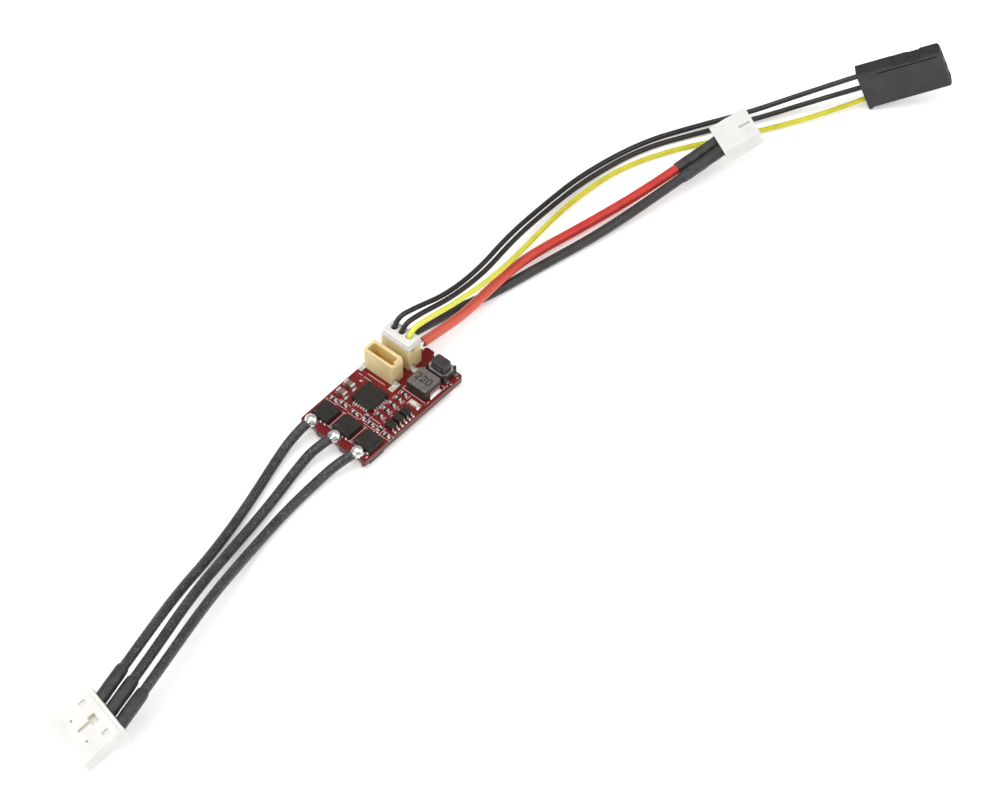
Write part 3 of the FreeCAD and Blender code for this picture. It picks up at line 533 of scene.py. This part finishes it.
signal_looks = {"black": BLACK_PVC, "brown": BROWN_PVC, "yellow": YELLOW_PVC}
for (colour, look), points in zip(signal_looks.items(), SIGNAL_ROUTES):
    wire = lead("signal_lead_" + colour, points, SIGNAL_D, look, "receiver_lead")
    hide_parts("signal_wire_" + colour)


# ---- solder ----------------------------------------------------------------
def dome(bm, x, y, half_x, half_y, height):
    """The top of a ball of solder, with a little of it below the board's top."""
    lump = bmesh.ops.create_uvsphere(bm, u_segments=40, v_segments=24, radius=1.0)
    for v in lump["verts"]:
        up = max(v.co.z, -0.3) * height
        v.co = Vector((x + v.co.x * half_x, y + v.co.y * half_y, BOARD_TOP + up))


def rod(bm, start, end, radius):
    """A tinned conductor: a rod with a rounded far end."""
    start, end = Vector(start), Vector(end)
    turn = (end - start).to_track_quat("Z", "Y").to_matrix().to_4x4()
    place = Matrix.Translation((start + end) / 2) @ turn
    bmesh.ops.create_cone(bm, cap_ends=True, segments=32, radius1=radius, radius2=radius,
                          depth=(end - start).length, matrix=place)
    bmesh.ops.create_uvsphere(bm, u_segments=32, v_segments=16, radius=radius,
                              matrix=Matrix.Translation(end))


# each motor joint: its height, how far its middle is off the wire's line, and the same for the strands
MOTOR_DOMES = ((1.22, 0.03, 0.05), (1.17, 0.0, -0.05), (1.21, -0.03, 0.02))
MOTOR_DOME_X, MOTOR_DOME_STEP, MOTOR_DOME_HALF = -10.93, 0.02, (1.12, 1.2)
MOTOR_STRANDS = 0.43
BATTERY_DOME_HEIGHTS = (0.86, 0.92)
BATTERY_DOME_X, BATTERY_DOME_HALF = 10.9, (0.84, 0.95)
BATTERY_STRANDS = 0.44


def run_together(bm):
    """One smooth skin round overlapping lumps, from shapes in millimetres."""
    mesh = bpy.data.meshes.new("joints_rough")
    bm.to_mesh(mesh)
    bm.free()
    rough = bpy.data.objects.new("joints_rough", mesh)
    bpy.context.scene.collection.objects.link(rough)
    skin = rough.modifiers.new("skin", "REMESH")
    skin.mode = "VOXEL"
    skin.voxel_size = 0.05
    ease = rough.modifiers.new("ease", "SMOOTH")
    ease.factor = 0.5
    ease.iterations = 16
    bpy.context.view_layer.update()
    done = bpy.data.meshes.new_from_object(rough.evaluated_get(bpy.context.evaluated_depsgraph_get()))
    bpy.data.objects.remove(rough)
    joined = bmesh.new()
    joined.from_mesh(done)
    bpy.data.meshes.remove(done)
    return joined


def soldered_joints():
    """Domes that have wetted the pads, and the tinned ends of the five power wires."""
    bm = bmesh.new()
    for i, (y, (height, off, strands_off)) in enumerate(zip(MOTOR_Y, MOTOR_DOMES)):
        dome(bm, MOTOR_DOME_X + MOTOR_DOME_STEP * i, y + off, *MOTOR_DOME_HALF, height)
        rod(bm, (-12.25, y, 2.78), (-11.45, y + strands_off, 2.80), MOTOR_STRANDS)
    for y, height in zip(BATTERY_Y, BATTERY_DOME_HEIGHTS):
        dome(bm, BATTERY_DOME_X, y, *BATTERY_DOME_HALF, height)
        rod(bm, (12.0, y, 2.76), (10.75, y, 2.72), BATTERY_STRANDS)
    bm = run_together(bm)
    every = bm.verts[:] + bm.edges[:] + bm.faces[:]
    cut = bmesh.ops.bisect_plane(bm, geom=every, plane_co=(0, 0, BOARD_TOP), plane_no=(0, 0, -1),
                                 clear_outer=True)
    rim = [e for e in cut["geom_cut"] if isinstance(e, bmesh.types.BMEdge)]
    bmesh.ops.holes_fill(bm, edges=rim)
    bmesh.ops.scale(bm, vec=(MM, MM, MM), verts=bm.verts)
    piece = mesh_piece("solder_on_wires", bm, GREY_SOLDER, "board")
    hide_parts("solder_joints", "tinned_wire_ends")


soldered_joints()

PROCESSOR_ROW = [(-3.3, -2.25), (-1.8, -2.25), (-0.4, -2.25), (1.0, -2.25), (2.3, -2.25)]
POWER_ROW = [(-5.6, 5.2), (-5.3, 3.4), (-5.5, 0.9), (-5.5, -2.4), (-5.6, -5.7)]
LENGTHWISE_CHIPS = [(-5.0, -0.9), (-5.4, -4.1)]
LARGE_CHIPS = [(-1.9, 5.2), (-3.9, 5.0)]
SMALL_HALF, LARGE_HALF = 0.5, 0.85  # from a chip's middle to the foot of its end cap
LED_AT, LED_HALF = (1.75, -4.75), 0.8
INDUCTOR_AT, INDUCTOR_HALF = (5.55, -3.65), 2.1
TRANSISTOR_X, TRANSISTOR_Y = (-3.75, -2.05, -0.4), -4.95
TRANSISTOR_LEGS = ((-0.42, -1), (0.42, -1), (0.0, 1))  # along X, and which side along Y
LEG_FOOT = 1.25
HEADER_TAB_X, HEADER_TAB_FOOT = (3.03, 7.1), 3.35
HEADER_TAIL_X = (5.46, 9.7)
SMALL_FILLET = (0.46, 0.16, 0.14)  # width, height and reach
LARGE_FILLET = (0.86, 0.36, 0.24)
LED_FILLET = (0.82, 0.34, 0.3)
INDUCTOR_FILLET = (2.4, 0.4, 0.3)
SHELL_FILLET = (0.98, 0.12, 0.16)
LEG_FILLET = (0.38, 0.12, 0.16)
POWER_CHIP_FILLET = (0.4, 0.10, 0.08)
PROCESSOR_FILLET = (0.27, 0.16, 0.38)
PIN_FILLET = (0.32, 0.3, 0.25)


def add_fillet(bm, x, y, way, width, height, reach):
    """Concave solder from the foot of an end cap out over its pad."""
    across = Vector((-way.y, way.x, 0))
    steps, film = 6, 0.015
    rows = []
    for i in range(steps + 1):
        t = i / steps
        up = height * (1 - t) ** 2.2 + film
        half = width / 2 * (1.0 + 0.12 * t)
        foot = Vector((x, y, BOARD_TOP)) + way * reach * t
        rows.append([bm.verts.new((foot + across * half * s + Vector((0, 0, h))) * MM)
                     for s, h in ((-1, 0), (-0.86, up), (0.86, up), (1, 0))])
    for a, b in zip(rows, rows[1:]):
        for k in range(3):
            bm.faces.new((a[k], a[k + 1], b[k + 1], b[k]))
    bm.faces.new(rows[-1])


def solder_fillets():
    bm = bmesh.new()
    for s in (-1, 1):
        along_x, along_y = Vector((s, 0, 0)), Vector((0, s, 0))
        for x, y in PROCESSOR_ROW + POWER_ROW:
            add_fillet(bm, x, y + s * SMALL_HALF, along_y, *SMALL_FILLET)
        for x, y in LENGTHWISE_CHIPS:
            add_fillet(bm, x + s * SMALL_HALF, y, along_x, *SMALL_FILLET)
        for x, y in LARGE_CHIPS:
            add_fillet(bm, x, y + s * LARGE_HALF, along_y, *LARGE_FILLET)
        add_fillet(bm, LED_AT[0], LED_AT[1] + s * LED_HALF, along_y, *LED_FILLET)
        add_fillet(bm, INDUCTOR_AT[0], INDUCTOR_AT[1] + s * INDUCTOR_HALF, along_y, *INDUCTOR_FILLET)
        for tab_x in HEADER_TAB_X:
            add_fillet(bm, tab_x, HEADER_Y + s * HEADER_TAB_FOOT, along_y, *SHELL_FILLET)
        for y in FET_Y:
            for k in range(4):
                add_fillet(bm, FET_X + s * FET_HALF, y + (k - 1.5) * FET_PAD_PITCH, along_x,
                           *POWER_CHIP_FILLET)
        for k in range(PROCESSOR_PADS):
            cx, cy = PROCESSOR
            along = (k - (PROCESSOR_PADS - 1) / 2) * PROCESSOR_PITCH
            add_fillet(bm, cx + s * PROCESSOR_HALF, cy + along, along_x, *PROCESSOR_FILLET)
            add_fillet(bm, cx + along, cy + s * PROCESSOR_HALF, along_y, *PROCESSOR_FILLET)
    for x in TRANSISTOR_X:
        for dx, s in TRANSISTOR_LEGS:
            add_fillet(bm, x + dx, TRANSISTOR_Y + s * LEG_FOOT, Vector((0, s, 0)), *LEG_FILLET)
    for tail_x in HEADER_TAIL_X:
        for k in (-1, 0, 1):
            add_fillet(bm, tail_x, HEADER_Y + HEADER_PIN_PITCH * k, Vector((1, 0, 0)), *PIN_FILLET)
    piece = mesh_piece("solder_fillets", bm, PAD_TIN, "board")


solder_fillets()


# ---- tracks and printed marks on the board ---------------------------------
def add_strip(bm, points, width, height):
    """A flat strip with mitred corners that follows a line on the board's top."""
    flat = [Vector((*p, 0)) for p in points]
    left, right = [], []
    for i, at in enumerate(flat):
        before = (at - flat[i - 1]).normalized() if i else None
        after = (flat[i + 1] - at).normalized() if i < len(flat) - 1 else None
        one, other = before or after, after or before
        way = (one + other).normalized()
        side = Vector((-way.y, way.x, 0))
        mitre = side.dot(Vector((-other.y, other.x, 0)))
        half = side * width / 2 / max(mitre, 0.5)
        for edge, reach in ((left, half), (right, -half)):
            foot = at + reach + Vector((0, 0, BOARD_TOP))
            edge.append([bm.verts.new((foot + Vector((0, 0, h))) * MM) for h in (0, height)])
    for i in range(len(flat) - 1):
        a, b, c, d = left[i], left[i + 1], right[i + 1], right[i]
        bm.faces.new((a[1], b[1], c[1], d[1]))
        bm.faces.new((a[0], b[0], b[1], a[1]))
        bm.faces.new((d[0], c[0], c[1], d[1]))
    for a, b in ((left[0], right[0]), (left[-1], right[-1])):
        bm.faces.new((a[0], a[1], b[1], b[0]))


RING_STEPS = 28


def add_ring(bm, x, y, inner, outer, height):
    """A flat ring on the board's top."""
    circles = []
    for radius, h in ((outer, 0), (outer, height), (inner, height), (inner, 0)):
        circle = []
        for k in range(RING_STEPS):
            angle = 2 * math.pi * k / RING_STEPS
            at = Vector((x + radius * math.cos(angle), y + radius * math.sin(angle), BOARD_TOP + h))
            circle.append(bm.verts.new(at * MM))
        circles.append(circle)
    for a, b in zip(circles, circles[1:]):
        for k in range(RING_STEPS):
            n = (k + 1) % RING_STEPS
            bm.faces.new((a[k], a[n], b[n], b[k]))


VIAS = [
    (-4.3, 2.2), (-4.3, -0.6), (-9.9, 1.85), (-9.9, -2.6), (3.0, -6.0), (7.7, -0.6), (-6.2, 6.2),
]
VIA_HOLE, VIA_RIM, VIA_RISE = 0.15, 0.27, 0.02

TRACK_WIDTH, TRACK_RISE = 0.17, 0.012
TRACKS = [
    [(-4.05, 1.95), (-4.6, 1.95), (-5.3, 2.65), (-5.3, 2.9)],
    [(-4.05, 1.45), (-4.75, 1.45), (-5.5, 2.0), (-6.6, 2.0)],
    [(-4.05, 0.95), (-4.9, 0.95)],
    [(-4.05, 0.45), (-4.6, 0.45), (-5.2, -0.15), (-6.7, -0.15)],
    [(-4.05, -0.05), (-4.4, -0.05), (-4.9, -0.6)],
    [(-3.0, -1.1), (-3.0, -1.5), (-3.3, -1.75)],
    [(-2.5, -1.1), (-2.5, -1.35), (-1.8, -1.6), (-1.8, -1.8)],
    [(-2.0, -1.1), (-2.0, -1.3), (-0.4, -1.5), (-0.4, -1.75)],
    [(-1.5, -1.1), (-1.5, -1.2), (0.4, -1.3), (1.0, -1.75)],
    [(-1.0, -1.1), (1.2, -1.15), (2.3, -1.75)],
    [(-3.3, -2.8), (-3.3, -3.3), (-3.75, -3.7)],
    [(-1.8, -2.8), (-1.8, -3.4), (-2.05, -3.7)],
    [(-0.4, -2.8), (-0.4, -3.7)],
    [(1.0, -2.8), (1.0, -3.4), (1.75, -3.8)],
    [(0.55, 0.2), (1.4, 0.2), (2.1, 0.6), (2.1, 1.2)],
    [(0.55, 0.7), (1.2, 0.7), (1.9, 1.3), (1.9, 2.4)],
    [(0.55, 1.7), (1.3, 1.7), (1.6, 2.0), (1.6, 5.8), (2.3, 6.25)],
    [(-0.5, 3.5), (-0.5, 3.9), (0.5, 4.3), (0.5, 6.1), (2.1, 6.35)],
    [(-1.0, 3.5), (-1.0, 4.0), (-1.9, 4.2)],
    [(-2.5, 3.5), (-2.5, 3.9), (-3.9, 4.0)],
    [(-4.2, 6.05), (-5.0, 6.2), (-6.4, 6.2)],
    [(-4.2, -5.0), (-4.9, -5.0), (-5.4, -5.4)],
    [(-5.4, -3.3), (-5.9, -3.6), (-6.6, -3.6)],
    [(2.3, -2.8), (2.8, -3.3), (2.8, -5.6), (3.0, -6.0)],
    [(5.8, 0.0), (5.8, -0.9), (5.6, -1.3)],
    [(7.3, -0.2), (7.7, -0.6), (8.4, -1.1)],
    [(9.9, 0.0), (9.9, -0.8), (10.5, -1.2)],
]

# wider copper along the board's edges, and the pads that hold the receptacles' ends: a middle line
# and a width
EDGE_POURS = [([(-9.8, 6.35), (-6.9, 6.35)], 0.22), ([(-9.6, -6.42), (-6.6, -6.42)], 0.2)]
SHELL_PADS = [
    ([(1.45, -0.1), (3.45, -0.1)], 0.95), ([(1.45, 6.2), (3.45, 6.2)], 0.75),
    ([(6.6, -0.1), (7.6, -0.1)], 0.9), ([(6.6, 6.3), (7.6, 6.3)], 0.55),
]
PAD_RISE = 0.03

# printed lines
LINE, FINE_LINE, THIN_LINE = 0.10, 0.09, 0.07
BAND, CORNER_BAND = 0.16, 0.2
INK_RISE = 0.016
POWER_CHIP_LINES = [((-9.95, 2.25), (-6.45, 2.25)), ((-10.05, -2.15), (-6.5, -2.15))]
POWER_CHIP_CROSSBARS = [(-10.0, 2.2), (-6.42, 2.25), (-10.1, -2.2), (-6.44, -2.15)]
CROSSBAR_HALF = 0.38
FRAME_LINES = [
    [(1.78, 1.3), (1.78, 4.75)],
    [(0.95, 5.1), (0.95, 5.9)],
    [(0.95, 3.4), (0.95, 4.85)],
    [(3.85, -1.2), (3.15, -1.2), (3.15, -6.1), (3.85, -6.1)],
    [(6.9, -6.1), (7.5, -6.1), (7.5, -5.4)],
    [(6.8, -1.2), (7.5, -1.2), (7.5, -1.9)],
    [(2.42, -3.7), (2.42, -5.8)],
]
SWITCH_DASHES, DASH_HALF = [(10.2, -6.25), (8.6, -6.35), (7.9, -6.1)], 0.18
POWER_BRACKET = (0.5, 0.98, 0.22)  # out to its back, half its back's length, and its lip
PROCESSOR_BRACKET = (0.95, 0.36, 0.25)
SIDE_LINES = (0.5, 0.9)  # out to the line, and half its length
PRINTED_DOT = (0.0, 4.6, 0.1, 0.22)  # its place, hole and rim


def tracks_and_pads():
    tracks = bmesh.new()
    for points in TRACKS:
        add_strip(tracks, points, TRACK_WIDTH, TRACK_RISE)
    for points, width in EDGE_POURS:
        add_strip(tracks, points, width, TRACK_RISE)
    mesh_piece("tracks_under_mask", tracks, TRACK, "board", smooth=False)

    rings = bmesh.new()
    for x, y in VIAS:
        add_ring(rings, x, y, VIA_HOLE, VIA_RIM, VIA_RISE)
    mesh_piece("via_rings", rings, TINNED, "board", smooth=False)

    pads = bmesh.new()
    for points, width in SHELL_PADS:
        add_strip(pads, points, width, PAD_RISE)
    mesh_piece("shell_pads", pads, PAD_TIN, "board", smooth=False)


def add_bracket(bm, corner, far_corner, lip):
    """A printed bracket: a straight back between two corners, and a lip at each of its ends."""
    (x0, y0), (x1, y1) = corner, far_corner
    add_strip(bm, [(x0 + lip[0], y0 + lip[1]), (x0, y0), (x1, y1), (x1 + lip[0], y1 + lip[1])],
              THIN_LINE, INK_RISE)


def printed_marks():
    ink = bmesh.new()
    for points in POWER_CHIP_LINES + FRAME_LINES:
        add_strip(ink, points, LINE, INK_RISE)
    for x, y in POWER_CHIP_CROSSBARS:
        add_strip(ink, [(x, y - CROSSBAR_HALF), (x, y + CROSSBAR_HALF)], LINE, INK_RISE)
    add_ring(ink, *PRINTED_DOT, INK_RISE)
    for s in (-1, 1):
        out, half, lip = POWER_BRACKET
        for x, y in POWER_ROW:
            side = x + s * out
            add_bracket(ink, (side, y + half), (side, y - half), lip=(-s * lip, 0))
        out, half, lip = PROCESSOR_BRACKET
        for x, y in PROCESSOR_ROW:
            end = y + s * out
            add_bracket(ink, (x - half, end), (x + half, end), lip=(0, -s * lip))
        out, half = SIDE_LINES
        for x, y in LENGTHWISE_CHIPS:
            add_strip(ink, [(x - half, y + s * out), (x + half, y + s * out)], FINE_LINE, INK_RISE)
    add_strip(ink, [(-4.45, -1.6), (-4.45, -3.4)], FINE_LINE, INK_RISE)
    add_strip(ink, [(-10.9, -6.2), (-10.5, -6.2)], CORNER_BAND, INK_RISE)
    for x, y in SWITCH_DASHES:
        add_strip(ink, [(x - DASH_HALF, y), (x + DASH_HALF, y)], BAND, INK_RISE)
    mesh_piece("printed_marks", ink, INK, "board", smooth=False)


tracks_and_pads()
printed_marks()

MARK_RISE = 0.006  # how far marks stand off a chip or the inductor
PIN_DOT = (0.02, 0.24)  # hole and rim
PIN_DOT_X, PIN_DOT_OFF_Y = -9.6, 1.2
MOULD_RING_AT, MOULD_RING = (-7.6, -0.9), (0.22, 0.27)


def printed_value():
    """A generic value code on top of the inductor, read from the motor end."""
    text = bpy.data.curves.new("inductor_value", "FONT")
    text.body = "220"
    text.size = 2.05 * MM
    text.extrude = 0.008 * MM
    text.offset = 0.03 * MM
    text.space_character = 1.02
    text.align_x = "CENTER"
    text.align_y = "CENTER"
    text.materials.append(DARK_MARK.mat)
    lo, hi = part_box("inductor")
    mark = bpy.data.objects.new("inductor_value", text)
    bpy.context.scene.collection.objects.link(mark)
    mark.location = ((lo[0] + hi[0]) / 2 - 0.05 * MM, (lo[1] + hi[1]) / 2, hi[2] + MARK_RISE * MM)
    mark.rotation_euler = (0, 0, math.radians(-90))
    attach(mark, "board")


printed_value()


def chip_dots():
    """A dot at each power chip's first pin, and a ring where one was released from its mould."""
    bm = bmesh.new()
    for y in FET_Y:
        add_ring(bm, PIN_DOT_X, y + PIN_DOT_OFF_Y, *PIN_DOT, MARK_RISE)
    add_ring(bm, *MOULD_RING_AT, *MOULD_RING, MARK_RISE)
    top = Vector((0, 0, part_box("mosfets_top")[1][2] - BOARD_TOP * MM))
    for v in bm.verts:
        v.co += top
    mesh_piece("chip_marks", bm, CHIP_MARK, "board", smooth=False)


chip_dots()


# ---- floor, light, camera --------------------------------------------------
# each lamp: its name, place and size in metres, and power in watts
LAMPS = (
    ("overhead", (-0.35, 0.15, 1.1), 1.1, 8.6),
    ("right", (0.3, -0.75, 0.8), 1.0, 4.0),
    ("left", (-0.85, 0.45, 0.7), 0.9, 3.0),
)


def floor_sheet():
    sheet = bpy.data.meshes.new("floor")
    bm = bmesh.new()
    bmesh.ops.create_grid(bm, x_segments=1, y_segments=1, size=3.0)
    bm.to_mesh(sheet)
    bm.free()
    pale = surface("pale_floor", (0.90, 0.90, 0.90), (0.93, 0.93, 0.93), 4, (0.7, 0.8),
                   Specular_IOR_Level=0.1, Emission_Strength=0.30)
    pale.shader.inputs["Emission Color"].default_value = (1, 1, 1, 1)
    sheet.materials.append(pale.mat)
    floor = bpy.data.objects.new("floor", sheet)
    bpy.context.scene.collection.objects.link(floor)


def light():
    world = bpy.data.worlds.new("soft_white")
    bpy.context.scene.world = world
    world.use_nodes = True
    sky = world.node_tree.nodes["Background"]
    sky.inputs["Color"].default_value = (0.97, 0.98, 1.0, 1.0)
    sky.inputs["Strength"].default_value = 0.5
    for name, at, size, power in LAMPS:
        lamp = bpy.data.lights.new(name, "AREA")
        lamp.size = size
        lamp.energy = power
        lamp.color = (1.0, 0.985, 0.965)
        holder = bpy.data.objects.new(name, lamp)
        bpy.context.scene.collection.objects.link(holder)
        holder.location = at
        holder.rotation_euler = (-Vector(at)).to_track_quat("-Z", "Y").to_euler()


def camera():
    ahead = Vector((
        -math.sin(CAMERA_AZIMUTH) * math.cos(CAMERA_ELEVATION),
        math.cos(CAMERA_AZIMUTH) * math.cos(CAMERA_ELEVATION),
        -math.sin(CAMERA_ELEVATION),
    ))
    lens = bpy.data.cameras.new("camera")
    lens.lens = CAMERA_LENS
    lens.sensor_width = 36
    lens.clip_start = 0.05
    lens.clip_end = 20
    eye = bpy.data.objects.new("camera", lens)
    bpy.context.scene.collection.objects.link(eye)
    eye.location = CAMERA_TARGET - ahead * CAMERA_DISTANCE
    eye.rotation_euler = ahead.to_track_quat("-Z", "Y").to_euler()
    bpy.context.scene.camera = eye


floor_sheet()
light()
camera()
bpy.context.scene.view_settings.view_transform = "Standard"

bpy.context.view_layer.update()
